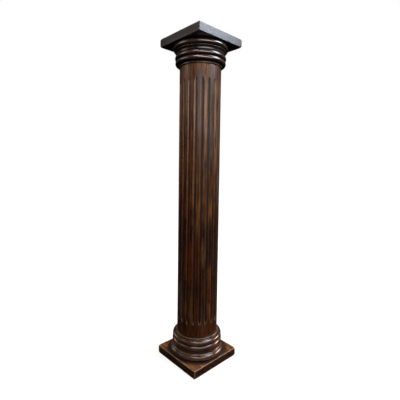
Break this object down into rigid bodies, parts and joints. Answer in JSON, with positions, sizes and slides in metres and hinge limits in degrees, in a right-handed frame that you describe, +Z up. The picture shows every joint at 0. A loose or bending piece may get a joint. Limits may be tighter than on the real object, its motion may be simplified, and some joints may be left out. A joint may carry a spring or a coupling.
{
  "type": "carved wooden column",
  "caption": "Fluted round wooden column with a square plinth, turned base and capital mouldings and a square abacus, standing free or under a beam.",
  "frame": {"origin": "middle of the plinth's underside", "axes": "+Z up along the column's axis, +X and +Y square to the sides of the plinth and the abacus"},
  "size_m": [0.4276, 0.4276, 2.4],
  "materials": {
    "board_wood": "dark brown stained hardwood, satin polish, worn paler on the arrises",
    "moulding_wood": "dark red-brown stained turned hardwood, glossy polish",
    "shaft_wood": "dark brown stained hardwood in strips of differing tone, satin wax"
  },
  "bodies": {
    "root": {"plinth": "board_wood", "base_moulding": "moulding_wood", "shaft": "shaft_wood", "capital_moulding": "moulding_wood", "abacus": "board_wood"}
  },
  "joints": []
}
